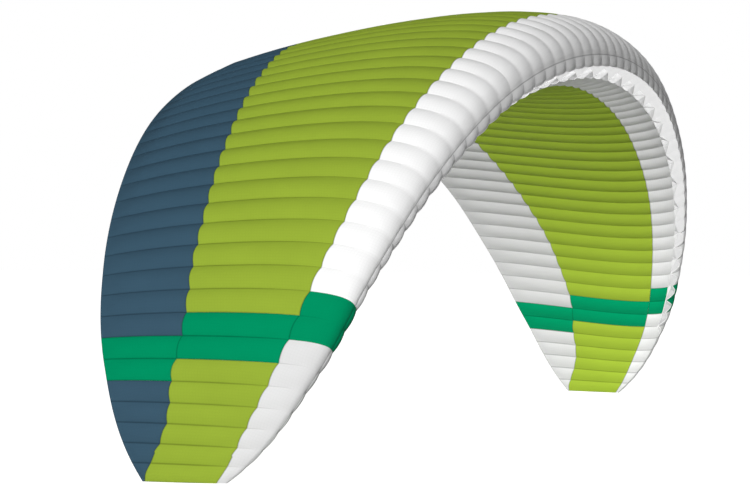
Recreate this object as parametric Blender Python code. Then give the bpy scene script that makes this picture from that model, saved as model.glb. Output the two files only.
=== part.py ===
"""Ram-air paraglider canopy, inflated and standing on its two flat tips.

X runs along the span, the leading edge faces -Y, +Z is up. The origin is on the ground, below
the middle of the canopy. The sail is cut in colour fields, each a sheet that billows between the
ribs; the longest ones are sewn from three lengths. Every second rib stands in the cells of the
middle part, and a flat rib closes each tip.
"""

import bpy
import numpy as np

# Plan of the canopy, in metres along the cloth
HALF_SPAN = 5.6
CELLS = 66
HALF_CELLS = CELLS // 2
CELL_WIDTHS = (0.105, 0.154, 0.186, 0.207, 0.209)  # at even steps of cell count, tip to root

# Cloth
SAIL_SHEET = 0.0015
RIB_SHEET = 0.0010
GAP = 0.0003            # between pieces that are sewn together
RIB_INSET = 0.0004      # a rib stays this far inside the sail
UPPER_BILLOW = 0.13     # height of a cell's bulge over the ribs, as a share of its width
LOWER_BILLOW = 0.08
BILLOW_CHANGE = (-0.04, -0.20)   # the one turns into the other between these places on the nose
REAR_FADE = 0.08        # share of the chord at the rear over which the bulge dies out

# Sections across the wing. Lengths in metres, angles in degrees, the rest shares of the chord.
# "arc" is the slope of the span line, "tilt" that of the rib plane, "crown" and "belly" the
# heights above and below the chord, and the "from" columns where a colour begins.
COLUMNS = ("at", "chord", "set_back", "arc", "tilt", "twist", "crown", "belly",
           "blue_from", "lime_from", "low_white_from", "low_lime_from")
SECTIONS = (
    (0.00, 2.780, 0.000, 0.0, 0.0, 0.2, 0.136, 0.057, 0.755, 0.127, 0.740, 0.130),
    (0.20, 2.780, 0.028, 9.5, 8.1, 0.4, 0.128, 0.061, 0.757, 0.129, 0.735, 0.132),
    (0.40, 2.600, 0.119, 22.0, 16.8, 0.1, 0.120, 0.059, 0.700, 0.128, 0.699, 0.135),
    (0.60, 2.240, 0.273, 37.5, 28.6, 1.1, 0.112, 0.060, 0.656, 0.136, 0.672, 0.136),
    (0.75, 1.873, 0.461, 53.0, 43.6, 2.2, 0.100, 0.059, 0.629, 0.143, 0.629, 0.136),
    (0.88, 1.398, 0.720, 68.5, 62.2, 4.7, 0.072, 0.058, 0.641, 0.162, 0.634, 0.122),
    (0.98, 0.745, 1.096, 71.8, 81.8, 8.4, 0.045, 0.029, 0.815, 0.150, 0.818, 0.090),
    (1.00, 0.537, 1.214, 67.2, 90.0, 9.6, 0.046, 0.019, 0.970, 0.116, 0.975, 0.053),
)
UPPER_FULLNESS = 0.840   # below 1 moves the thickest place forward
LOWER_FULLNESS = 0.863
REFLEX = 0.026           # lift of the rear part of the section,
REFLEX_FROM = 0.4        # behind this share of the chord
ARC_COUNT = 401          # points of the span line
SMALL = 1e-4             # step along the outline for its direction

# Mouth of the cells, as shares of the chord on the under side of the nose
UPPER_LIP = (0.0016, 0.0110)   # root, tip
LOWER_LIP = (0.0457, 0.0406)
OPEN_FROM_RIB = 6              # the cells nearer the tip are sewn shut
CLOSING_CELLS = 1              # the mouth narrows to nothing over this many cells

# Colour fields: the green field is two cells wide and steps one cell outwards per band
GREEN_CELLS = 2
GREEN_FROM_RIB = {"trailing": 5, "middle": 6, "leading": 7}
UPPER_STEPS = {"trailing": 2, "middle": 3, "leading": 6}   # facets along the chord
LOWER_STEPS = {"trailing": 1, "middle": 2, "leading": 2}

# The longest fields are cut in three here, in front view from left to right
LONG_FIELDS = (("upper", "leading"), ("lower", "leading"), ("lower", "middle"))
CUT_AT_RIBS = (22, 44)

# Ribs: the outermost that is built, the cut of the thin rear end as a share of its last facet,
# and the depth of the scoop between the lips as a share of the mouth
FIRST_RIB = 12
RIB_STEP = 2
REAR_CUT = 0.1
SCOOP = 0.25

BLUE, LIME, GREEN, WHITE = "#456377", "#A4BC42", "#12A673", "#F0F0F0"
FIELD_COLOURS = {
    "upper": {"trailing": BLUE, "middle": LIME, "leading": WHITE},
    "lower": {"trailing": WHITE, "middle": LIME, "leading": WHITE},
}


def column(name):
    return np.array([row[COLUMNS.index(name)] for row in SECTIONS])


def between(values, at, odd=False):
    """Smooth curve through a column of SECTIONS, mirrored about the root (odd: and negated)."""
    stations = column("at")
    places = np.concatenate([-stations[:0:-1], stations])
    sign = -1 if odd else 1
    heights = np.concatenate([sign * values[:0:-1], values])
    slopes = np.gradient(heights, places)
    k = np.clip(np.searchsorted(places, at, side="right") - 1, 0, len(places) - 2)
    step = places[k + 1] - places[k]
    t = (at - places[k]) / step
    return (
        (2 * t**3 - 3 * t**2 + 1) * heights[k]
        + (t**3 - 2 * t**2 + t) * step * slopes[k]
        + (3 * t**2 - 2 * t**3) * heights[k + 1]
        + (t**3 - t**2) * step * slopes[k + 1]
    )


def cell_widths():
    """Width of each cell of one half, from the tip to the root."""
    middles = (np.arange(HALF_CELLS) + 0.5) / HALF_CELLS
    widths = np.interp(middles, np.linspace(0, 1, len(CELL_WIDTHS)), CELL_WIDTHS)
    return widths * HALF_SPAN / widths.sum()


RIBS_FROM_TIP = np.concatenate([[0], np.cumsum(cell_widths())]) / HALF_SPAN
ARC_STEPS = np.linspace(0, 1, ARC_COUNT)


def span_line():
    """X and Z of the leading edge line, the running sum of its slope along the cloth."""
    slope = np.radians(between(column("arc"), ARC_STEPS, odd=True))
    step = HALF_SPAN * (ARC_STEPS[1] - ARC_STEPS[0])
    middle = (slope[1:] + slope[:-1]) / 2
    x = np.concatenate([[0], np.cumsum(np.cos(middle) * step)])
    z = np.concatenate([[0], np.cumsum(-np.sin(middle) * step)])
    return x, z - z[-1]


LINE_X, LINE_Z = span_line()


def span_share(rib):
    """Share of the half span (0 root, 1 tip) and side (-1 or 1) of a rib number, whole or not."""
    from_tip = np.where(rib <= HALF_CELLS, rib, CELLS - rib)
    share = 1 - np.interp(from_tip, np.arange(HALF_CELLS + 1), RIBS_FROM_TIP)
    return share, np.where(rib <= HALF_CELLS, -1.0, 1.0)


def by_root_and_tip(pair, share):
    return pair[0] + (pair[1] - pair[0]) * share**2


def thickness_form(x):
    """The four-digit sections' thickness form, 1 at its highest."""
    return 10 * (0.2969 * np.sqrt(x) - 0.1260 * x - 0.3516 * x**2 + 0.2843 * x**3 - 0.1036 * x**4)


def outline(along, share):
    """Section outline in chords: along runs from 1 (rear, above) over 0 (nose) to -1 (rear, below).
    The place on the chord is along squared. The height is crown or belly times the form."""
    x = along**2
    above = between(column("crown"), share) * thickness_form(x**UPPER_FULLNESS)
    below = -between(column("belly"), share) * thickness_form(x**LOWER_FULLNESS)
    reflex = 4 * REFLEX * x * (1 - x) * (x - REFLEX_FROM)
    return x, np.where(along >= 0, above, below) + reflex


def outward(along, share):
    """Unit normal of the outline, square to a short step along it. At the rear edge it points
    straight up or down, so that the two sheets there stay parallel."""
    x0, y0 = outline(np.clip(along - SMALL, -1, 1), share)
    x1, y1 = outline(np.clip(along + SMALL, -1, 1), share)
    length = np.hypot(x1 - x0, y1 - y0)
    nx, ny = -(y1 - y0) / length, (x1 - x0) / length
    rear = np.abs(along) > 1 - SMALL
    return np.where(rear, 0.0, nx), np.where(rear, np.sign(along), ny)


def place(rib, along, out):
    """World points of places along the section of each rib number, out metres off its outline,
    with the billow between ribs added. rib has one value a row, along and out one a point."""
    rib = np.asarray(rib, float)[:, None] + 0 * along
    share, side = span_share(rib)
    chord = between(column("chord"), share)
    x, y = outline(along, share)
    nx, ny = outward(along, share)

    width = np.interp(np.minimum(rib, CELLS - rib), np.arange(HALF_CELLS) + 0.5, cell_widths())
    part = rib - np.floor(rib)
    rear_fade = np.clip((1 - along**2) / REAR_FADE, 0, 1)
    under = np.clip((BILLOW_CHANGE[0] - along) / (BILLOW_CHANGE[0] - BILLOW_CHANGE[1]), 0, 1)
    billow = UPPER_BILLOW + (LOWER_BILLOW - UPPER_BILLOW) * under
    off = out + billow * width * 4 * part * (1 - part) * rear_fade

    forward = x * chord + nx * off
    height = y * chord + ny * off
    twist = np.radians(between(column("twist"), share))
    back = forward * np.cos(twist) - height * np.sin(twist)
    rise = forward * np.sin(twist) + height * np.cos(twist)
    tilt = np.radians(between(column("tilt"), share, odd=True))
    return np.stack([
        side * (np.interp(share, ARC_STEPS, LINE_X) + rise * np.sin(tilt)),
        between(column("set_back"), share) + back - SHIFT_BACK,
        np.interp(share, ARC_STEPS, LINE_Z) + rise * np.cos(tilt),
    ], axis=-1)


def field_edges(surface, band, rib):
    """Where a band starts and ends along the section of each rib number."""
    share, _ = span_share(rib)
    upper_lip = -np.sqrt(by_root_and_tip(UPPER_LIP, share))
    if surface == "upper":
        blue = np.sqrt(between(column("blue_from"), share))
        lime = np.sqrt(between(column("lime_from"), share))
        return {"trailing": (1 + 0 * share, blue), "middle": (blue, lime),
                "leading": (lime, upper_lip)}[band]
    from_tip = np.minimum(rib, CELLS - rib)
    opened = np.clip((from_tip - OPEN_FROM_RIB) / CLOSING_CELLS + 1, 0, 1)
    lower_lip = -np.sqrt(by_root_and_tip(LOWER_LIP, share))
    lip = upper_lip + (lower_lip - upper_lip) * opened
    lime = -np.sqrt(between(column("low_lime_from"), share))
    white = -np.sqrt(between(column("low_white_from"), share))
    return {"trailing": (white, -1 + 0 * share), "middle": (lime, white),
            "leading": (lip, lime)}[band]


def field_grid(surface, band, rib):
    """Places along each section, in equal steps, drawn in by half a gap at both ends."""
    start, end = field_edges(surface, band, rib)
    steps = (UPPER_STEPS if surface == "upper" else LOWER_STEPS)[band]
    along = start[:, None] + (end - start)[:, None] * np.linspace(0, 1, steps + 1)
    share = span_share(rib)[0][:, None]
    chord = between(column("chord"), share)
    for edge in (0, -1):
        here = along[:, edge]
        if np.all(np.abs(here) == 1):
            continue
        x0, y0 = outline(here[:, None] - SMALL, share)
        x1, y1 = outline(here[:, None] + SMALL, share)
        metres = np.hypot(x1 - x0, y1 - y0)[:, 0] / (2 * SMALL) * chord[:, 0]
        along[:, edge] += (1 if edge == -1 else -1) * GAP / 2 / metres
    return along


def make_object(name, vertices, faces, colour, collection):
    mesh = bpy.data.meshes.new(name)
    mesh.from_pydata([tuple(v) for v in vertices], [], faces)
    mesh.update()
    material = bpy.data.materials.get(colour) or bpy.data.materials.new(colour)
    material.use_nodes = True
    shader = material.node_tree.nodes["Principled BSDF"]
    channels = [int(colour[i:i + 2], 16) / 255 for i in (1, 3, 5)]
    linear = [c / 12.92 if c <= 0.04045 else ((c + 0.055) / 1.055) ** 2.4 for c in channels]
    shader.inputs["Base Color"].default_value = (*linear, 1)
    shader.inputs["Roughness"].default_value = 0.5
    mesh.materials.append(material)
    collection.objects.link(bpy.data.objects.new(name, mesh))


def sail_field(name, surface, band, first_rib, last_rib, colour, collection):
    """One sheet of sail: a loft over a row at each rib and one at the middle of each cell. Both
    faces are cut along the same diagonals, mirrored in each cell, so the sheet keeps its thickness."""
    rows = np.arange(2 * first_rib, 2 * last_rib + 1) / 2
    half_gap = GAP / 2 / cell_widths()[0]
    if first_rib > 0:
        rows[0] += half_gap
    if last_rib < CELLS:
        rows[-1] -= half_gap
    along = field_grid(surface, band, rows)
    inner = place(rows, along, 0 * along + GAP / 2)
    outer = place(rows, along, 0 * along + GAP / 2 + SAIL_SHEET)
    count, width = along.shape
    vertices = np.concatenate([outer.reshape(-1, 3), inner.reshape(-1, 3)])
    number = np.arange(count * width).reshape(count, width)
    shift = count * width
    faces = []
    for i in range(count - 1):
        for j in range(width - 1):
            corners = (number[i, j], number[i, j + 1], number[i + 1, j + 1], number[i + 1, j])
            first = (i + int(2 * first_rib)) % 2
            for a, b, c in ((0, 1, 2), (0, 2, 3)) if first == 0 else ((0, 1, 3), (1, 2, 3)):
                a, b, c = corners[a], corners[b], corners[c]
                faces.append((a, b, c))
                faces.append((c + shift, b + shift, a + shift))
    border = (list(number[0, :-1]) + list(number[:-1, -1])
              + list(number[-1, :0:-1]) + list(number[:0:-1, 0]))
    for here, after in zip(border, border[1:] + border[:1]):
        faces.append((here, here + shift, after + shift, after))
    make_object(name, vertices, faces, colour, collection)


def band_fields(surface, band, collection):
    """The fields of one band across the span: tip, green and main field, mirrored on the right."""
    green = GREEN_FROM_RIB[band]
    inner = green + GREEN_CELLS
    plain = FIELD_COLOURS[surface][band]
    fields = [("tip_left", 0, green, plain), ("green_left", green, inner, GREEN)]
    if (surface, band) in LONG_FIELDS:
        left, right = CUT_AT_RIBS
        fields += [("main_left", inner, left, plain), ("main_centre", left, right, plain),
                   ("main_right", right, CELLS - inner, plain)]
    else:
        fields += [("main", inner, CELLS - inner, plain)]
    fields += [("green_right", CELLS - inner, CELLS - green, GREEN),
               ("tip_right", CELLS - green, CELLS, plain)]
    for name, first, last, colour in fields:
        sail_field(f"{surface}_{band}_{name}", surface, band, first, last, colour, collection)


def section_loop(rib):
    """Places along a rib's outline, at the sail's own facet corners: over the top to the upper
    lip, then from the lower lip to the rear, short of the thin rear edge."""
    number = np.array([float(rib)])
    upper = [field_grid("upper", band, number)[0] for band in ("trailing", "middle", "leading")]
    lower = [field_grid("lower", band, number)[0] for band in ("leading", "middle", "trailing")]
    return (np.concatenate([upper[0], upper[1][1:], upper[2][1:]]),
            np.concatenate([lower[0], lower[1][1:], lower[2][1:]]))


def rib_outline(rib, closed_nose):
    """World points round a rib, RIB_INSET inside the sail. The rear end is cut off square, and
    between the lips an open rib is scooped back."""
    over, under = section_loop(rib)
    number = np.array([float(rib)])
    top = place(number, over[None], np.full((1, len(over)), -RIB_INSET))[0]
    bottom = place(number, under[None], np.full((1, len(under)), -RIB_INSET))[0]
    top[0] += (top[1] - top[0]) * REAR_CUT
    bottom[-1] += (bottom[-2] - bottom[-1]) * REAR_CUT
    if closed_nose:
        return np.concatenate([top, bottom[1:]])
    lips = (top[-1] + bottom[0]) / 2
    middle = (top.mean(axis=0) + bottom.mean(axis=0)) / 2
    reach = np.linalg.norm(top[-1] - bottom[0])
    inward = (middle - lips) / np.linalg.norm(middle - lips)
    scoop = lips + inward * reach * SCOOP
    return np.concatenate([top, [scoop], bottom])


def rib_plate(name, rib, low, high, closed_nose, collection):
    """A flat plate in the plane of a rib, from low to high metres along the plane's normal."""
    loop = rib_outline(rib, closed_nose)
    share, side = span_share(np.array([float(rib)]))
    tilt = np.radians(between(column("tilt"), share, odd=True))[0]
    normal = np.array([-side[0] * np.cos(tilt), 0, np.sin(tilt)])
    size = len(loop)
    vertices = np.concatenate([loop + normal * low, loop + normal * high])
    turn = 1 if side[0] > 0 else -1
    lower_face = list(range(size))[::turn]
    upper_face = [i + size for i in range(size)][::-turn]
    faces = [tuple(lower_face), tuple(upper_face)]
    for i in range(size):
        k = (i + 1) % size
        faces.append((i, i + size, k + size, k)[::turn])
    make_object(name, vertices, faces, WHITE, collection)


def middle_of_chord():
    """Half way between the foremost and the rearmost point, to centre the canopy on the origin."""
    rows = np.arange(2 * CELLS + 1) / 2
    places = []
    for surface in ("upper", "lower"):
        for band in FIELD_COLOURS[surface]:
            along = field_grid(surface, band, rows)
            places.append(place(rows, along, 0 * along + GAP / 2 + SAIL_SHEET)[..., 1])
    return (min(y.min() for y in places) + max(y.max() for y in places)) / 2


def build():
    for item in list(bpy.data.objects):
        bpy.data.objects.remove(item)
    collection = bpy.data.collections.new("paraglider_wing")
    bpy.context.scene.collection.children.link(collection)
    for surface in ("upper", "lower"):
        for band in ("trailing", "middle", "leading"):
            band_fields(surface, band, collection)
    for rib in range(FIRST_RIB, CELLS - FIRST_RIB + 1, RIB_STEP):
        rib_plate(f"rib_{rib:02d}", rib, -RIB_SHEET / 2, RIB_SHEET / 2, False, collection)
    rib_plate("tip_rib_left", 0, 0, SAIL_SHEET, True, collection)
    rib_plate("tip_rib_right", CELLS, 0, SAIL_SHEET, True, collection)


SHIFT_BACK = 0.0
SHIFT_BACK = middle_of_chord()
build()
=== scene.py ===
"""Looks of an inflated ram-air paraglider canopy that stands on its two flat tips.

The canopy is sewn from coated ripstop nylon. Every sheet here is a surface over two numbers: the
rib number, which runs from 0 at one tip to 66 at the other and takes any value between two ribs,
and the place along a section, which runs from 1 at the rear above, over 0 at the nose, to -1 at
the rear below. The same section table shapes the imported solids. The sheets here follow them, but
not exactly: their bulge is round where the solids have a ridge, and near the mouths the top cloth
ends in points that the solids leave out. Lengths are in metres and angles in degrees.
"""

import bpy
import numpy as np
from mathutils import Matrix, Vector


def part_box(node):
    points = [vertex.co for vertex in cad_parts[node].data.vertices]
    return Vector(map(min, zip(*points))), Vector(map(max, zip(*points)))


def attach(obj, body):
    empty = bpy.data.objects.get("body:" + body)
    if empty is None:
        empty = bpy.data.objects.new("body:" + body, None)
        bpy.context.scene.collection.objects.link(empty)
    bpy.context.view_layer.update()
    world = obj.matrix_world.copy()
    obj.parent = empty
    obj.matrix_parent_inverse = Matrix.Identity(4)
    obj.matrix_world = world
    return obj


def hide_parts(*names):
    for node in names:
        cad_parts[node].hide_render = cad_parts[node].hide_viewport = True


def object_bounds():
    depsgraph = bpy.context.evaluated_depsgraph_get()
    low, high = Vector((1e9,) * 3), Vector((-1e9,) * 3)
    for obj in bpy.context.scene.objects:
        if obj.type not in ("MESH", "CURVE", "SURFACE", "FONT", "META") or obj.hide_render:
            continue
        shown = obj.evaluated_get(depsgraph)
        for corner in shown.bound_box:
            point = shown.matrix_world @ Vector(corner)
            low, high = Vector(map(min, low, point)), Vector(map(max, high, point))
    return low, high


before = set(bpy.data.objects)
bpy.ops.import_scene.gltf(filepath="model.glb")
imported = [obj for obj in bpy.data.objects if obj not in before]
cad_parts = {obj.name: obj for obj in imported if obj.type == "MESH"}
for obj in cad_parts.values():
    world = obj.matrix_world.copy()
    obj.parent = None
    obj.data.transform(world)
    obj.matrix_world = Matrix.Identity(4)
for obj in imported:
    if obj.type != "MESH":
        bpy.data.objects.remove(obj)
cad_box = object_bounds()

# Plan of the canopy, in metres along the cloth
HALF_SPAN = 5.6
CELLS = 66
HALF_CELLS = CELLS // 2
CELL_WIDTHS = (0.105, 0.154, 0.186, 0.207, 0.209)  # at even steps of cell count, tip to root

# Cloth
CAD_SHEET = 0.0015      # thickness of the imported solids' sheets
SHEET = 0.0008          # ripstop with its coating and seams, drawn thick enough to be solid
SHEET_OFF = 0.0005      # inner face of a sheet off the section outline
GAP = 0.0003            # between pieces that are sewn together
RIB_INSET = 0.0006      # a rib stays this far inside the sail
BILLOW_AT = (-0.30, -0.21, -0.04, 0.035, 0.16, 0.36, 0.68)      # places along the section
BILLOW = (0.090, 0.060, 0.060, 0.030, 0.050, 0.090, 0.130)      # bulge as a share of cell width
REAR_FADE = 0.08        # share of the chord at the rear over which the bulge dies out

# Sections across the wing. "arc" is the slope of the span line, "tilt" that of the rib plane,
# "crown" and "belly" the heights above and below the chord as shares of it, and the "from"
# columns the shares of the chord where a colour begins.
COLUMNS = ("at", "chord", "set_back", "arc", "tilt", "twist", "crown", "belly",
           "blue_from", "lime_from", "low_white_from", "low_lime_from")
SECTIONS = (
    (0.00, 2.780, 0.000, 0.0, 0.0, 0.2, 0.136, 0.057, 0.755, 0.127, 0.740, 0.130),
    (0.20, 2.780, 0.028, 9.5, 8.1, 0.4, 0.128, 0.061, 0.757, 0.129, 0.735, 0.132),
    (0.40, 2.600, 0.119, 22.0, 16.8, 0.1, 0.120, 0.059, 0.700, 0.128, 0.699, 0.135),
    (0.60, 2.240, 0.273, 37.5, 28.6, 1.1, 0.112, 0.060, 0.656, 0.136, 0.672, 0.136),
    (0.75, 1.873, 0.461, 53.0, 43.6, 2.2, 0.100, 0.059, 0.629, 0.143, 0.629, 0.136),
    (0.88, 1.398, 0.720, 68.5, 62.2, 4.7, 0.072, 0.058, 0.641, 0.162, 0.634, 0.122),
    (0.98, 0.745, 1.096, 71.8, 81.8, 8.4, 0.045, 0.029, 0.815, 0.150, 0.818, 0.090),
    (1.00, 0.537, 1.214, 67.2, 90.0, 9.6, 0.046, 0.019, 0.970, 0.116, 0.975, 0.053),
)
THICKNESS_TERMS = (0.2969, -0.1260, -0.3516, 0.2843, -0.1036)  # of sqrt x, x, x^2, x^3, x^4
UPPER_FULLNESS = 0.840   # below 1 moves the thickest place forward
LOWER_FULLNESS = 0.863
REFLEX = 0.026           # lift of the rear part of the section,
REFLEX_FROM = 0.4        # behind this share of the chord
ARC_COUNT = 401
SMALL = 1e-4             # step along a curve that a slope is taken over
TURNED_OVER = [0, 3, 2, 1]  # corners of a quad that faces the other way, split as before

# Mouth of the cells, as shares of the chord on the under side of the nose
UPPER_LIP = (0.0016, 0.0110)   # root, tip
LOWER_LIP = (0.0457, 0.0406)
OPEN_FROM_RIB = 6              # the cells nearer the tip are sewn shut
CLOSING_CELLS = 1

# Colour fields: the green field is two cells wide and steps one cell outwards per band
GREEN_CELLS = 2
GREEN_FROM_RIB = {"trailing": 5, "middle": 6, "leading": 7}
LONG_FIELDS = (("upper", "leading"), ("lower", "leading"), ("lower", "middle"))
CUT_AT_RIBS = (22, 44)

# Mesh fineness: strips across one cell, and along the chord in each band
ACROSS_CELL = 12
UPPER_STEPS = {"trailing": 9, "middle": 16, "leading": 30}
NOSE_STEPS = 7          # of the leading ones, from the nose seam to the mouth
LOWER_STEPS = {"trailing": 8, "middle": 14, "leading": 10}

# Sewing. The colour seams of the top bow rearwards in the middle of a cell. The nose has a
# joining seam, pulled in most in the middle of a cell. Towards the tips the top cloth reaches
# down over the mouth in points: long ones at the even ribs, short ones at the odd ribs.
SEAM_BOW = 0.008
BOWED_UNTIL = 0.97             # share of the half span beyond which the seams run straight
NOSE_SEAM_AT = 0.026           # place along the section
NOSE_SEAM_WIDE = 0.0075
NOSE_SEAM_DEEP = 0.0045
LONG_POINT = (0.97, 0.42)      # reach as a share of the mouth, half width in cells, which
SHORT_POINT = (0.50, 0.36)
POINTS_FULL, POINTS_NONE = 10, 14  # shrinks to nothing between these ribs from the tip
POINTS_FROM = 0.80             # share of the leading field over which its rows fan out to them
BINDING = 0.0034               # half width of the folded tape on both lips

# Cloth tones in sRGB. Those of the lower side and of the tips carry painted light and shade for the
# light that falls there: the lower lime and green lighter as painted light, the lower rear white
# and the tips' upper white greyer as painted shade.
COLOURS = {"blue": "#365061", "lime": "#8BA134", "lower_lime_painted_light": "#A3BD3C", "green": "#008559",
           "lower_green_painted_light": "#009866", "white": "#EAEAEA", "lower_rear_white_painted_shade": "#DCDCDC",
           "tip_white_painted_shade": "#D0D0D0"}
# The inner cloth and the ribs, and less so the diagonal ribs, are greyer than the sails' white:
# painted shade inside the cells.
INNER_WHITE_PAINTED_SHADE, DIAGONAL_WHITE_PAINTED_SHADE, TAPE_COLOUR = "#C4C4C4", "#DADADA", "#F6F6F6"
FIELD_COLOURS = {
    "upper": {"trailing": "blue", "middle": "lime", "leading": "white", "steps": "green",
              "leading_tip": "tip_white_painted_shade"},
    "lower": {"trailing": "lower_rear_white_painted_shade", "middle": "lower_lime_painted_light", "leading": "white",
              "steps": "lower_green_painted_light"},
}

# Camera and studio. Suns are (name, azimuth, elevation, strength, angle). They cast no shadow
# and leave no gloss, as wide soft panels all round do.
CAMERA_AT = (-17.3511, -6.3615, 1.5432)
CAMERA_LENS = 113.76           # in millimetres, as the sensor's width
CAMERA_SENSOR = 36.0
CAMERA_SEES = 200.0
VIEW_AZIMUTH, VIEW_ELEVATION = -68.1974, 0.4939
AMBIENT = 0.06
SUNS = (
    ("key", -82.0, 11.0, 3.30, 20.0),
    ("top", -70.0, 62.0, 0.90, 20.0),
    ("fill", 115.0, 8.0, 1.30, 20.0),
)
FLOOR_SIDE = 120.0
FLOOR_BELOW = 0.0005
FLOOR_GLOW = 0.9
FLOOR_COLOUR = "#A8A8A8"
FLOOR_ROUGH = 0.9

# Inner cloth
RIB_ALONG, RIB_ACROSS = 40, 8
RIB_REAR = 0.985               # how far back a rib reaches, as a place along the section
TIP_FRONT = 0.02               # place along the section where a tip rib starts, behind the nose
TIP_OFF = 0.0003
DIAGONAL_FROM_RIB = 9
DIAGONAL_TOP = 0.50            # share of the rib's height that a diagonal rib climbs to
DIAGONAL_FOOT = 0.01
DIAGONAL_CLEAR = 0.006         # share of its width that it ends short of both ribs
DIAGONAL_ALONG, DIAGONAL_ACROSS = 10, 6

# Finish, in metres. Ripstop has a thicker thread every 5 mm or so and tape a rib every
# millimetre: both are drawn coarser, as wide as they need to show at this distance.
RIPSTOP_GRID = 0.020
RIPSTOP_THREAD = 0.0025
THREAD_HIGH = 0.00012
SEAM_LINE = 0.007
PUCKER_REACH = 0.030
PUCKER_WAVE = 0.035
PUCKER_HIGH = 0.0015
CLOTH_PATCH = 0.40
CLOTH_TONE = 0.04              # how much darker the darkest patches are
PATCH_RANGE = (0.3, 0.7)       # values of the noise between which a patch turns from dark to light
PATCH_DETAIL, PATCH_ROUGH = 3.0, 0.6
THREAD_DARK = 0.04
# Darkening at the seams, partly stitching and partly painted shade in the crease.
STITCH_AND_CREASE_DARK = 0.42
NYLON_ROUGH = (0.46, 0.58)
NYLON_SPECULAR = 0.06          # low, as the white lights leave no gloss that would pale the colours
TAPE_RIB = 0.008
TAPE_SIDES = 8
TAPE_THICK = 0.0018
CREASE_ANGLE = 25
NYLON_IOR = 1.53
TRANSLUCENT = 0.12             # share of the light that comes through the coated sails,
INNER_TRANSLUCENT = 0.40       # and through the thinner cloth inside
POLYESTER_IOR = 1.57
POLYESTER_ROUGH = 0.7
POLYESTER_SPECULAR = 0.3
TAPE_GROOVE_SHADE = 0.94        # of the grooves between the tape's ribs, darker as painted shade
TAPE_BUMP, TAPE_BUMP_REACH = 0.6, 0.1


def column(name):
    return np.array([row[COLUMNS.index(name)] for row in SECTIONS])


def between(values, at, odd=False):
    """Cubic curve through a column of SECTIONS with the slopes of its neighbours, mirrored about
    the root (odd: and negated)."""
    stations = column("at")
    places = np.concatenate([-stations[:0:-1], stations])
    sign = -1 if odd else 1
    heights = np.concatenate([sign * values[:0:-1], values])
    slopes = np.gradient(heights, places)
    k = np.clip(np.searchsorted(places, at, side="right") - 1, 0, len(places) - 2)
    step = places[k + 1] - places[k]
    t = (at - places[k]) / step
    return (
        (2 * t**3 - 3 * t**2 + 1) * heights[k]
        + (t**3 - 2 * t**2 + t) * step * slopes[k]
        + (3 * t**2 - 2 * t**3) * heights[k + 1]
        + (t**3 - t**2) * step * slopes[k + 1]
    )


def cell_widths():
    """Width of each cell of one half, from the tip to the root."""
    middles = (np.arange(HALF_CELLS) + 0.5) / HALF_CELLS
    widths = np.interp(middles, np.linspace(0, 1, len(CELL_WIDTHS)), CELL_WIDTHS)
    return widths * HALF_SPAN / widths.sum()


WIDTHS = cell_widths()
RIBS_FROM_TIP = np.concatenate([[0], np.cumsum(WIDTHS)]) / HALF_SPAN
ARC_STEPS = np.linspace(0, 1, ARC_COUNT)


def span_line():
    """X and Z of the leading edge line, the running sum of its slope along the cloth."""
    slope = np.radians(between(column("arc"), ARC_STEPS, odd=True))
    step = HALF_SPAN * (ARC_STEPS[1] - ARC_STEPS[0])
    middle = (slope[1:] + slope[:-1]) / 2
    x = np.concatenate([[0], np.cumsum(np.cos(middle) * step)])
    z = np.concatenate([[0], np.cumsum(-np.sin(middle) * step)])
    return x, z - z[-1]


LINE_X, LINE_Z = span_line()


def from_nearer_tip(rib):
    return np.minimum(rib, CELLS - rib)


def span_share(rib):
    """Share of the half span (0 root, 1 tip) and side (-1 or 1) of a rib number, whole or not."""
    share = 1 - np.interp(from_nearer_tip(rib), np.arange(HALF_CELLS + 1), RIBS_FROM_TIP)
    return share, np.where(rib <= HALF_CELLS, -1.0, 1.0)


def cell_width(rib):
    return np.interp(from_nearer_tip(rib), np.arange(HALF_CELLS) + 0.5, WIDTHS)


def by_root_and_tip(pair, share):
    return pair[0] + (pair[1] - pair[0]) * share**2


def thickness_form(x):
    """The four-digit sections' thickness form: ten times the sum of THICKNESS_TERMS times the
    square root of x and its powers, which is 1 at its highest."""
    root, first, second, third, fourth = THICKNESS_TERMS
    return 10 * (root * np.sqrt(x) + first * x + second * x**2 + third * x**3 + fourth * x**4)


def outline(along, share):
    """Section outline in chords. The place on the chord is along squared, and the height is the
    crown or the belly times the thickness form, plus a cubic that lifts the rear."""
    x = along**2
    above = between(column("crown"), share) * thickness_form(x**UPPER_FULLNESS)
    below = -between(column("belly"), share) * thickness_form(x**LOWER_FULLNESS)
    reflex = 4 * REFLEX * x * (1 - x) * (x - REFLEX_FROM)
    return x, np.where(along >= 0, above, below) + reflex


def outward(along, share):
    """Unit normal of the outline, square to a short step along it, and straight up or down at
    the rear edge."""
    x0, y0 = outline(np.clip(along - SMALL, -1, 1), share)
    x1, y1 = outline(np.clip(along + SMALL, -1, 1), share)
    length = np.hypot(x1 - x0, y1 - y0)
    nx, ny = -(y1 - y0) / length, (x1 - x0) / length
    rear = np.abs(along) > 1 - SMALL
    return np.where(rear, 0.0, nx), np.where(rear, np.sign(along), ny)


def smooth(t):
    """Smooth step: 3 t^2 - 2 t^3, held to 0 and 1 outside."""
    t = np.clip(t, 0, 1)
    return 3 * t**2 - 2 * t**3


def billow(along):
    """Height of the bulge as a share of the cell width: smooth steps between the values of BILLOW,
    the same as its first and last value outside them."""
    at, height = np.array(BILLOW_AT), np.array(BILLOW)
    k = np.clip(np.searchsorted(at, along) - 1, 0, len(at) - 2)
    return height[k] + (height[k + 1] - height[k]) * smooth((along - at[k]) / (at[k + 1] - at[k]))


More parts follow.
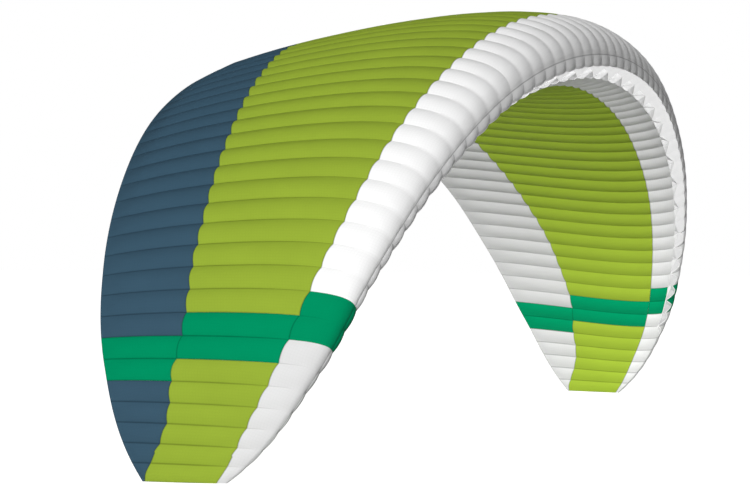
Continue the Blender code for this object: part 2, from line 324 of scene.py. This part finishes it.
def place(rib, along, out):
    """World points of places along the section of each rib number, out metres off its outline.
    Between two ribs the cloth stands off by a parabola, 4 t (1 - t) times the billow, where t is
    the part of the cell. rib has one value a row, along and out one a point."""
    rib = np.asarray(rib, float)[:, None] + 0 * along
    share, side = span_share(rib)
    chord = between(column("chord"), share)
    x, y = outline(along, share)
    nx, ny = outward(along, share)

    part = rib - np.floor(rib)
    rear_fade = np.clip((1 - along**2) / REAR_FADE, 0, 1)
    off = out + billow(along) * cell_width(rib) * 4 * part * (1 - part) * rear_fade

    forward = x * chord + nx * off
    height = y * chord + ny * off
    twist = np.radians(between(column("twist"), share))
    back = forward * np.cos(twist) - height * np.sin(twist)
    rise = forward * np.sin(twist) + height * np.cos(twist)
    tilt = np.radians(between(column("tilt"), share, odd=True))
    return np.stack([
        side * (np.interp(share, ARC_STEPS, LINE_X) + rise * np.sin(tilt)),
        between(column("set_back"), share) + back - shift_back,
        np.interp(share, ARC_STEPS, LINE_Z) + rise * np.cos(tilt),
    ], axis=-1)


def lips(rib):
    """Places along the section of the upper and the lower lip of the mouth. They meet where the
    cells are sewn shut."""
    share, _ = span_share(rib)
    upper = -np.sqrt(by_root_and_tip(UPPER_LIP, share))
    lower = -np.sqrt(by_root_and_tip(LOWER_LIP, share))
    opened = np.clip((from_nearer_tip(rib) - OPEN_FROM_RIB) / CLOSING_CELLS + 1, 0, 1)
    return upper, upper + (lower - upper) * opened


def points_of_lip(rib):
    """How far the top cloth reaches down over the mouth, from 0 to 1: straight-sided points,
    1 - d / half width, with d the distance in cells from an even rib, or from an odd one for a
    short point."""
    from_even = np.abs(rib / 2 - np.round(rib / 2)) * 2
    nearest = from_nearer_tip(np.round(rib))
    size = np.clip((POINTS_NONE - nearest) / (POINTS_NONE - POINTS_FULL), SMALL, 1)
    reach = 0
    for away, (longest, half_width) in ((from_even, LONG_POINT), (1 - from_even, SHORT_POINT)):
        reach = np.maximum(reach, longest * np.clip(1 - away / (half_width * size), 0, 1))
    return reach * (nearest < POINTS_NONE)


def bowed(name, share, bow):
    """Place along the section of a colour seam, moved back by bow metres."""
    return np.sqrt(between(column(name), share) + bow / between(column("chord"), share))


def field_edges(surface, band, rib):
    """Where a band starts and ends along the section of each rib number."""
    share, _ = span_share(rib)
    part = rib - np.floor(rib)
    upper_lip, lower_lip = lips(rib)
    if surface == "upper":
        bow = SEAM_BOW * 4 * part * (1 - part) * (share < BOWED_UNTIL)
        blue = bowed("blue_from", share, bow)
        lime = bowed("lime_from", share, bow)
        return {"trailing": (1 + 0 * share, blue), "middle": (blue, lime),
                "leading": (lime, upper_lip)}[band]
    lime = -bowed("low_lime_from", share, 0)
    white = -bowed("low_white_from", share, 0)
    return {"trailing": (white, -1 + 0 * share), "middle": (lime, white),
            "leading": (lower_lip, lime)}[band]


def field_grid(surface, band, rib):
    """Places along each section, in equal steps. One row of the nose lies on its seam, and the
    rows next to the mouth fan out to the points of the top cloth."""
    start, end = field_edges(surface, band, rib)
    steps = (UPPER_STEPS if surface == "upper" else LOWER_STEPS)[band]
    t = np.linspace(0, 1, steps + 1) + 0 * start[:, None]
    if (surface, band) == ("upper", "leading"):
        seam = ((start - NOSE_SEAM_AT) / (start - end))[:, None]
        above = np.linspace(0, 1, steps - NOSE_STEPS + 1)
        below = np.linspace(0, 1, NOSE_STEPS + 1)[1:]
        t = np.concatenate([seam * above, seam + (1 - seam) * below], axis=1)
    along = start[:, None] + (end - start)[:, None] * t
    if (surface, band) == ("upper", "leading"):
        upper_lip, lower_lip = lips(rib)
        fan = np.clip((t - POINTS_FROM) / (1 - POINTS_FROM), 0, 1)
        along += ((lower_lip - upper_lip) * points_of_lip(rib))[:, None] * fan
    share = span_share(rib)[0][:, None]
    chord = between(column("chord"), share)
    for edge in (0, -1):
        here = along[:, edge]
        if np.all(np.abs(here) == 1):
            continue
        x0, y0 = outline(here[:, None] - SMALL, share)
        x1, y1 = outline(here[:, None] + SMALL, share)
        metres = np.hypot(x1 - x0, y1 - y0)[:, 0] / (2 * SMALL) * chord[:, 0]
        along[:, edge] += (1 if edge == -1 else -1) * GAP / 2 / metres
    return along


shift_back = 0.0  # until it is worked out below, as place needs it


def shift_of_frame():
    """How far back the root's nose lies from the origin, so that the sheets here end at the same
    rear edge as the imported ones."""
    rows = np.arange(2 * CELLS + 1) / 2
    rear = place(rows, np.ones((len(rows), 1)), CAD_SHEET + GAP / 2)[..., 1].max()
    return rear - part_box("upper_trailing_main")[1].y


shift_back = shift_of_frame()


def linear(code):
    """sRGB hex to the linear values that the shaders take."""
    channels = np.array([int(code[i:i + 2], 16) / 255 for i in (1, 3, 5)])
    values = np.where(channels <= 0.04045, channels / 12.92, ((channels + 0.055) / 1.055) ** 2.4)
    return (*values, 1.0)


def add(tree, kind, inputs=None, **settings):
    """Adds a shader node. inputs gives values or the sockets that they come from."""
    node = tree.nodes.new("ShaderNode" + kind)
    for name, value in settings.items():
        setattr(node, name, value)
    for name, value in (inputs or {}).items():
        if isinstance(value, bpy.types.NodeSocket):
            tree.links.new(value, node.inputs[name])
        else:
            node.inputs[name].default_value = value
    return node


def ripstop(name, colour, through=TRANSLUCENT):
    """Ripstop nylon, woven and coated: a smooth cloth with a faint satin gloss, a grid of thicker
    threads, a darker line at the seams, partly stitching and partly painted shade in the crease
    there, and fine puckers beside that line."""
    material = bpy.data.materials.new(name)
    material.use_nodes = True
    tree = material.node_tree
    shader = tree.nodes["Principled BSDF"]

    cloth = add(tree, "UVMap", uv_map="cloth").outputs["UV"]
    parts = add(tree, "SeparateXYZ", {0: cloth}).outputs
    lines = []
    for axis in (0, 1):
        away = add(tree, "Math", {0: parts[axis], 1: RIPSTOP_GRID / 2}, operation="PINGPONG")
        lines.append(add(tree, "MapRange", {
            "Value": away.outputs[0], "From Min": 0.0, "From Max": RIPSTOP_THREAD,
            "To Min": 1.0, "To Max": 0.0}).outputs[0])
    grid = add(tree, "Math", {0: lines[0], 1: lines[1]}, operation="MAXIMUM").outputs[0]

    rib = add(tree, "Attribute", attribute_name="from_rib").outputs["Fac"]
    # Dark lines at the rib seams and at the colour and nose seams: partly stitching, partly painted
    # shade in the crease there.
    rib_stitch_and_crease = add(tree, "MapRange", {"Value": rib, "From Min": 0.0, "From Max": SEAM_LINE,
                                      "To Min": 1.0, "To Max": 0.0}).outputs[0]
    beside = add(tree, "MapRange", {"Value": rib, "From Min": 0.0, "From Max": PUCKER_REACH,
                                    "To Min": 1.0, "To Max": 0.0}).outputs[0]
    cut = add(tree, "Attribute", attribute_name="from_seam").outputs["Fac"]
    seam_stitch_and_crease = add(tree, "MapRange", {"Value": cut, "From Min": 0.0, "From Max": SEAM_LINE,
                                    "To Min": 1.0, "To Max": 0.0}).outputs[0]
    seams = add(tree, "Math", {0: rib_stitch_and_crease, 1: seam_stitch_and_crease}, operation="MAXIMUM").outputs[0]

    patches = add(tree, "TexNoise", {"Vector": cloth, "Scale": 1 / CLOTH_PATCH,
                                     "Detail": PATCH_DETAIL, "Roughness": PATCH_ROUGH})
    patches = patches.outputs["Fac"]
    shade = add(tree, "MapRange", {
        "Value": patches, "From Min": PATCH_RANGE[0], "From Max": PATCH_RANGE[1],
        "To Min": 1 - CLOTH_TONE, "To Max": 1.0}).outputs[0]
    thread_shade = add(tree, "Math", {0: grid, 1: -THREAD_DARK, 2: shade},
                       operation="MULTIPLY_ADD")
    seam_shade = add(tree, "Math", {0: seams, 1: -STITCH_AND_CREASE_DARK, 2: thread_shade.outputs[0]},
                     operation="MULTIPLY_ADD").outputs[0]
    tinted = add(tree, "Mix", {"Factor": 1.0, "A": linear(colour)}, data_type="RGBA",
                 blend_type="MULTIPLY")
    level = add(tree, "CombineColor", {0: seam_shade, 1: seam_shade, 2: seam_shade})
    tree.links.new(level.outputs[0], tinted.inputs["B"])
    tree.links.new(tinted.outputs["Result"], shader.inputs["Base Color"])
    glow = add(tree, "BsdfTranslucent", {"Color": tinted.outputs["Result"]})
    mixed = add(tree, "MixShader", {0: through, 1: shader.outputs[0], 2: glow.outputs[0]})
    tree.links.new(mixed.outputs[0], tree.nodes["Material Output"].inputs["Surface"])

    pucker = add(tree, "TexNoise", {"Vector": cloth, "Scale": 1 / PUCKER_WAVE, "Detail": 1.0})
    pulled = add(tree, "Math", {0: pucker.outputs["Fac"], 1: beside}, operation="MULTIPLY")
    height = add(tree, "Math", {0: pulled.outputs[0], 1: PUCKER_HIGH, 2: 0.0},
                 operation="MULTIPLY_ADD").outputs[0]
    relief = add(tree, "Math", {0: grid, 1: THREAD_HIGH, 2: height}, operation="MULTIPLY_ADD")
    bump = add(tree, "Bump", {"Height": relief.outputs[0], "Strength": 1.0, "Distance": 1.0})
    tree.links.new(bump.outputs[0], shader.inputs["Normal"])

    rough = add(tree, "MapRange", {
        "Value": patches, "From Min": PATCH_RANGE[0], "From Max": PATCH_RANGE[1],
        "To Min": NYLON_ROUGH[0], "To Max": NYLON_ROUGH[1]}).outputs[0]
    tree.links.new(rough, shader.inputs["Roughness"])
    shader.inputs["IOR"].default_value = NYLON_IOR
    shader.inputs["Specular IOR Level"].default_value = NYLON_SPECULAR
    return material


def tape(name, colour):
    """Woven polyester tape, folded over the lips: matt, with a fine rib across its length, darker
    in its grooves as painted shade.
    """
    material = bpy.data.materials.new(name)
    material.use_nodes = True
    tree = material.node_tree
    shader = tree.nodes["Principled BSDF"]
    cloth = add(tree, "UVMap", uv_map="cloth").outputs["UV"]
    along = add(tree, "SeparateXYZ", {0: cloth}).outputs[0]
    away = add(tree, "Math", {0: along, 1: TAPE_RIB / 2}, operation="PINGPONG").outputs[0]
    # Darker in the grooves between the tape's ribs: painted shade.
    share = add(tree, "MapRange", {"Value": away, "From Min": 0.0, "From Max": TAPE_RIB / 2,
                                   "To Min": TAPE_GROOVE_SHADE, "To Max": 1.0}).outputs[0]
    level = add(tree, "CombineColor", {0: share, 1: share, 2: share})
    tinted = add(tree, "Mix", {"Factor": 1.0, "A": linear(colour), "B": level.outputs[0]},
                 data_type="RGBA", blend_type="MULTIPLY")
    tree.links.new(tinted.outputs["Result"], shader.inputs["Base Color"])
    bump = add(tree, "Bump", {"Height": away, "Strength": TAPE_BUMP,
                               "Distance": TAPE_BUMP_REACH})
    tree.links.new(bump.outputs[0], shader.inputs["Normal"])
    shader.inputs["Roughness"].default_value = POLYESTER_ROUGH
    shader.inputs["IOR"].default_value = POLYESTER_IOR
    shader.inputs["Specular IOR Level"].default_value = POLYESTER_SPECULAR
    return material


def new_object(name, points, faces, uv, marks, material, lining=()):
    """A piece at the origin, riding on the canopy, with its cloth UV map and point attributes.
    The faces numbered in lining take the white of the coated inner face."""
    mesh = bpy.data.meshes.new(name)
    mesh.from_pydata(points, [], faces)
    corner = np.empty(len(mesh.loops), np.int32)
    mesh.loops.foreach_get("vertex_index", corner)
    layer = mesh.uv_layers.new(name="cloth")
    layer.data.foreach_set("uv", uv[corner].astype(np.float32).ravel())
    for mark, values in marks.items():
        attribute = mesh.attributes.new(mark, "FLOAT", "POINT")
        attribute.data.foreach_set("value", values.astype(np.float32))
    mesh.materials.append(material)
    if len(lining):
        mesh.materials.append(MATERIALS["inside"])
        slots = np.zeros(len(mesh.polygons), np.int32)
        slots[lining] = 1
        mesh.polygons.foreach_set("material_index", slots)
    mesh.polygons.foreach_set("use_smooth", np.ones(len(mesh.polygons), bool))
    mesh.set_sharp_from_angle(angle=np.radians(CREASE_ANGLE))
    mesh.update()
    piece = bpy.data.objects.new(name, mesh)
    bpy.context.scene.collection.objects.link(piece)
    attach(piece, "root")
    return piece


def facing(grid):
    """Cross product of the diagonals of a grid's quads: their normal, twice their area long."""
    return np.cross(grid[1:, 1:] - grid[:-1, :-1], grid[1:, :-1] - grid[:-1, 1:])


def between_faces(outer, inner):
    """Points and faces of a closed sheet: the grid of its outer face, the same grid turned over
    for its inner face, and a strip of quads round their border. Both faces split their quads
    along the same diagonal, and all are turned over if they point into the sheet."""
    rows, columns = outer.shape[:2]
    number = np.arange(rows * columns).reshape(rows, columns)
    quads = np.stack([number[:-1, :-1], number[:-1, 1:], number[1:, 1:], number[1:, :-1]],
                     axis=-1).reshape(-1, 4)
    shift = rows * columns
    border = np.concatenate([number[0, :-1], number[:-1, -1], number[-1, :0:-1],
                             number[:0:-1, 0]])
    after = np.roll(border, -1)
    rim = np.stack([border, border + shift, after + shift, after], axis=-1)
    faces = np.concatenate([quads, quads[:, TURNED_OVER] + shift, rim])
    if (facing(outer) * (outer - inner)[:-1, :-1]).sum() < 0:
        faces = faces[:, TURNED_OVER]
    return np.concatenate([outer.reshape(-1, 3), inner.reshape(-1, 3)]), faces


def lengths(grid, axis):
    """Running length of the grid lines along one axis, in metres."""
    steps = np.linalg.norm(np.diff(grid, axis=axis), axis=-1)
    start = np.zeros_like(np.take(steps, [0], axis=axis))
    return np.concatenate([start, np.cumsum(steps, axis=axis)], axis=axis)


def cloth_sheet(name, outer, inner, marks, material, nodes=(), coated=False):
    """A closed sheet between two grids of points, given its finish."""
    points, faces = between_faces(outer, inner)
    middle = (outer + inner) / 2
    uv = np.stack([lengths(middle, 0), lengths(middle, 1)], axis=-1).reshape(-1, 2)
    twice = {mark: np.tile(values.ravel(), 2) for mark, values in marks.items()}
    quads = (outer.shape[0] - 1) * (outer.shape[1] - 1)
    lining = np.arange(quads, 2 * quads) if coated else ()
    piece = new_object(name, points, faces, np.tile(uv, (2, 1)), twice, material, lining)
    if nodes:
        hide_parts(*nodes)
    return piece


def nose_seam(rib, along):
    """How far the nose seam pulls the cloth in: a bell curve along the section, times
    (1 - (2 t - 1)^4) across the cell, with t the part of the cell."""
    part = (rib - np.floor(rib))[:, None]
    bell = np.exp(-((along - NOSE_SEAM_AT) / NOSE_SEAM_WIDE) ** 2)
    return -NOSE_SEAM_DEEP * bell * (1 - (2 * part - 1) ** 4)


def sail_sheet(node, surface, band, first, last, colour):
    """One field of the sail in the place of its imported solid."""
    rib = np.linspace(first, last, (last - first) * ACROSS_CELL + 1)
    half_gap = GAP / 2 / WIDTHS[0]
    rib[0] += half_gap * (first > 0)
    rib[-1] -= half_gap * (last < CELLS)
    along = field_grid(surface, band, rib)
    seam = nose_seam(rib, along) if (surface, band) == ("upper", "leading") else 0 * along
    inner = place(rib, along, seam + SHEET_OFF)
    outer = place(rib, along, seam + SHEET_OFF + SHEET)
    part = rib - np.floor(rib)
    # Behind the nose seam the rib seams' dark line, partly painted shade in the crease, fades in
    # towards the rear as the cells bulge more.
    flat = (along > NOSE_SEAM_AT) * (1 - smooth((along - NOSE_SEAM_AT) / BILLOW_AT[-1]))
    from_rib = (np.minimum(part, 1 - part) * cell_width(rib))[:, None] + SEAM_LINE * flat
    down = lengths(outer, 1)
    from_seam = np.minimum(down, down[:, -1:] - down)
    if (surface, band) == ("upper", "leading"):
        metres = -np.gradient(down, axis=1) / np.gradient(along, axis=1)
        from_seam = np.minimum(from_seam, np.abs(along - NOSE_SEAM_AT) * metres)
    return cloth_sheet("sail_" + node, outer, inner, {"from_rib": from_rib, "from_seam": from_seam},
                       MATERIALS[colour],
                       [node], coated=True)


def unstitched(grid):
    """Marks of a sheet that shows no seams: every point a metre away from any."""
    return {"from_rib": 1 + 0 * grid[..., 0], "from_seam": 1 + 0 * grid[..., 0]}


def rib_sides(rib, start=0.0):
    """The upper and the lower edge of a rib, just inside the sail, from its front to its rear."""
    number = np.array([float(rib)])
    upper_lip, lower_lip = lips(number)
    over = np.linspace(upper_lip[0] + start, RIB_REAR, RIB_ALONG + 1)[None]
    under = np.linspace(lower_lip[0] - start, -RIB_REAR, RIB_ALONG + 1)[None]
    top = place(number, over, 0 * over - RIB_INSET)[0]
    bottom = place(number, under, 0 * under - RIB_INSET)[0]
    return top, bottom


def rib_grid(rib, share_up, start=0.0):
    """Places on a rib at shares of its height, straight between its lower and upper edge."""
    top, bottom = rib_sides(rib, start)
    return bottom[:, None] + (top - bottom)[:, None] * np.asarray(share_up, float)[None, :, None]


def rib_normal(rib):
    """Unit normal of a rib's plane, towards the right and upwards."""
    share, side = span_share(np.array([float(rib)]))
    tilt = np.radians(between(column("tilt"), share, odd=True))[0]
    return np.array([-side[0] * np.cos(tilt), 0, np.sin(tilt)])


def rib_sheet(rib):
    """An inner rib, cut to the section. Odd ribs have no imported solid."""
    grid = rib_grid(rib, np.linspace(0, 1, RIB_ACROSS + 1))
    normal = rib_normal(rib) * SHEET / 2
    name = f"rib_{rib:02d}"
    nodes = [name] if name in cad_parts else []
    marks = unstitched(grid)
    return cloth_sheet("inner_" + name, grid + normal, grid - normal, marks, MATERIALS["rib"],
                       nodes)


def tip_sheet(side, rib):
    """The flat rib that closes a tip, which the canopy stands on."""
    grid = rib_grid(rib, np.linspace(0, 1, RIB_ACROSS + 1), TIP_FRONT)
    normal = rib_normal(rib)
    marks = unstitched(grid)
    return cloth_sheet(f"closing_tip_{side}", grid + normal * TIP_OFF,
                       grid + normal * (TIP_OFF + SHEET), marks, MATERIALS["rib"],
                       [f"tip_rib_{side}"])


def diagonal_sheet(rib, foot_rib):
    """A diagonal rib: straight from a share up the height of an odd rib down to the foot of a
    rib beside it, from the mouth back."""
    head = rib_grid(rib, [DIAGONAL_TOP])[:DIAGONAL_ALONG + 1, 0]
    foot = rib_grid(foot_rib, [DIAGONAL_FOOT])[:DIAGONAL_ALONG + 1, 0]
    share = np.linspace(DIAGONAL_CLEAR, 1 - DIAGONAL_CLEAR, DIAGONAL_ACROSS + 1)[None, :, None]
    grid = head[:, None] + (foot - head)[:, None] * share
    normal = facing(grid).mean(axis=(0, 1))
    normal *= SHEET / 2 / np.linalg.norm(normal)
    marks = unstitched(grid)
    return cloth_sheet(f"diagonal_{rib:02d}_{foot_rib:02d}", grid - normal, grid + normal, marks,
                       MATERIALS["diagonal"])


def lip_tape(name, first, last, edge):
    """Folded tape along a lip: a flat oval ring carried along the edge, wide along the cloth and
    thin across it, closed at both ends. edge gives the places along the section."""
    rib = np.linspace(first, last, round((last - first) * ACROSS_CELL) + 1)
    along = edge(rib)[:, None]
    path = place(rib, along, 0 * along + SHEET_OFF + SHEET / 2)[:, 0]
    out = place(rib, along, 0 * along + SHEET_OFF + SHEET / 2 + SMALL)[:, 0] - path
    out /= np.linalg.norm(out, axis=-1, keepdims=True)
    onwards = np.gradient(path, axis=0)
    onwards /= np.linalg.norm(onwards, axis=-1, keepdims=True)
    across = np.cross(onwards, out)
    turn = np.arange(TAPE_SIDES) * 2 * np.pi / TAPE_SIDES
    ring = (path[:, None] + across[:, None] * np.cos(turn)[:, None] * BINDING
            + out[:, None] * np.sin(turn)[:, None] * TAPE_THICK)
    count = len(path)
    number = np.arange(count * TAPE_SIDES).reshape(count, TAPE_SIDES)
    around = np.roll(number, -1, axis=1)
    sides = np.stack([number[:-1], number[1:], around[1:], around[:-1]], axis=-1).reshape(-1, 4)
    faces = [tuple(quad) for quad in sides] + [tuple(number[0]), tuple(number[-1, ::-1])]
    uv = np.stack([np.repeat(lengths(path, 0), TAPE_SIDES),
                   np.tile(turn * BINDING, count)], axis=-1)
    piece = new_object(name, ring.reshape(-1, 3), faces, uv, {}, MATERIALS["tape"])
    return piece


def band_sheets(surface, band):
    """The fields of one band across the span: tip, green and main field, mirrored on the right."""
    green = GREEN_FROM_RIB[band]
    inner = green + GREEN_CELLS
    plain = FIELD_COLOURS[surface][band]
    cuts = CUT_AT_RIBS if (surface, band) in LONG_FIELDS else ()
    ends = [inner, *cuts, CELLS - inner]
    names = ("main_left", "main_centre", "main_right") if cuts else ("main",)
    steps = FIELD_COLOURS[surface]["steps"]
    tip = FIELD_COLOURS[surface].get(band + "_tip", plain)
    fields = [("tip_left", 0, green, tip), ("green_left", green, inner, steps)]
    fields += [(name, a, b, plain) for name, a, b in zip(names, ends, ends[1:])]
    fields += [("green_right", CELLS - inner, CELLS - green, steps),
               ("tip_right", CELLS - green, CELLS, tip)]
    for name, first, last, colour in fields:
        sail_sheet(f"{surface}_{band}_{name}", surface, band, first, last, colour)


def top_edge(rib):
    upper_lip, lower_lip = lips(rib)
    return upper_lip + (lower_lip - upper_lip) * points_of_lip(rib)


def build_canopy():
    for surface in ("upper", "lower"):
        for band in ("trailing", "middle", "leading"):
            band_sheets(surface, band)
    for rib in range(OPEN_FROM_RIB, CELLS - OPEN_FROM_RIB + 1):
        rib_sheet(rib)
    tip_sheet("left", 0)
    tip_sheet("right", CELLS)
    for rib in range(DIAGONAL_FROM_RIB, CELLS - DIAGONAL_FROM_RIB + 1, 2):
        diagonal_sheet(rib, rib - 1)
        diagonal_sheet(rib, rib + 1)
    first, last = OPEN_FROM_RIB - CLOSING_CELLS, CELLS - OPEN_FROM_RIB + CLOSING_CELLS
    lip_tape("mouth_tape_upper", first, last, top_edge)
    lip_tape("mouth_tape_lower", first, last, lambda rib: lips(rib)[1])


def make_floor():
    """A pale studio floor. It glows a little, so that it stays as pale as the backdrop."""
    mesh = bpy.data.meshes.new("floor")
    side = FLOOR_SIDE / 2
    mesh.from_pydata([(-side, -side, 0), (side, -side, 0), (side, side, 0), (-side, side, 0)],
                     [], [(0, 1, 2, 3)])
    material = bpy.data.materials.new("studio_floor_paint")
    material.use_nodes = True
    tree = material.node_tree
    shader = tree.nodes["Principled BSDF"]
    shader.inputs["Base Color"].default_value = linear(FLOOR_COLOUR)
    shader.inputs["Roughness"].default_value = FLOOR_ROUGH
    seen = add(tree, "LightPath").outputs["Is Camera Ray"]
    glow = add(tree, "Math", {0: seen, 1: FLOOR_GLOW}, operation="MULTIPLY").outputs[0]
    shader.inputs["Emission Color"].default_value = (1, 1, 1, 1)
    tree.links.new(glow, shader.inputs["Emission Strength"])
    mesh.materials.append(material)
    floor = bpy.data.objects.new("floor", mesh)
    floor.location.z = cad_box[0].z - FLOOR_BELOW
    bpy.context.scene.collection.objects.link(floor)


def turned_to(azimuth, elevation):
    """Rotation of an upright camera or sun that looks from that direction. Azimuth 0 is in front,
    at -Y, and 90 is at +X."""
    return (np.radians(90 - elevation), 0.0, np.radians(azimuth))


def make_sun(name, azimuth, elevation, strength, angle):
    light = bpy.data.lights.new(name, "SUN")
    light.energy = strength
    light.angle = np.radians(angle)
    light.use_shadow = False
    sun = bpy.data.objects.new(name, light)
    sun.visible_glossy = False
    sun.rotation_euler = turned_to(azimuth, elevation)
    bpy.context.scene.collection.objects.link(sun)


def make_studio():
    world = bpy.data.worlds.new("studio")
    world.use_nodes = True
    tree = world.node_tree
    seen = add(tree, "LightPath").outputs["Is Camera Ray"]
    level = add(tree, "MapRange", {"Value": seen, "To Min": AMBIENT, "To Max": 1.0}).outputs[0]
    tree.links.new(level, tree.nodes["Background"].inputs["Strength"])
    tree.nodes["Background"].inputs["Color"].default_value = (1, 1, 1, 1)
    bpy.context.scene.world = world
    bpy.context.scene.view_settings.view_transform = "Standard"
    for sun in SUNS:
        make_sun(*sun)
    data = bpy.data.cameras.new("camera")
    data.sensor_width = CAMERA_SENSOR
    data.lens = CAMERA_LENS
    data.clip_end = CAMERA_SEES
    camera = bpy.data.objects.new("camera", data)
    camera.location = CAMERA_AT
    camera.rotation_euler = turned_to(VIEW_AZIMUTH, VIEW_ELEVATION)
    bpy.context.scene.collection.objects.link(camera)
    bpy.context.scene.camera = camera


# Coated sails: flat, even colours with fine squares, and a dark line at every seam, partly
# stitching and partly painted shade in the crease
MATERIALS = {name: ripstop(f"{name}_coated_ripstop_nylon", code) for name, code in COLOURS.items()}
# Cloth inside: greyer, as painted shade inside the cells, and thinner, so the mouths look softly
# lit and not black
MATERIALS["inside"] = ripstop("white_inner_coating_of_ripstop_nylon", INNER_WHITE_PAINTED_SHADE,
                              INNER_TRANSLUCENT)
MATERIALS["rib"] = ripstop("white_rib_ripstop_nylon", INNER_WHITE_PAINTED_SHADE, INNER_TRANSLUCENT)
# Diagonal ribs: a white with less painted shade than the ribs, which stands off from the ribs
# behind it
MATERIALS["diagonal"] = ripstop("white_diagonal_ripstop_nylon", DIAGONAL_WHITE_PAINTED_SHADE,
                                INNER_TRANSLUCENT)
# Lip tape: the brightest white, a thin clean line round the mouths
MATERIALS["tape"] = tape("white_woven_polyester_tape", TAPE_COLOUR)

build_canopy()
make_floor()
make_studio()
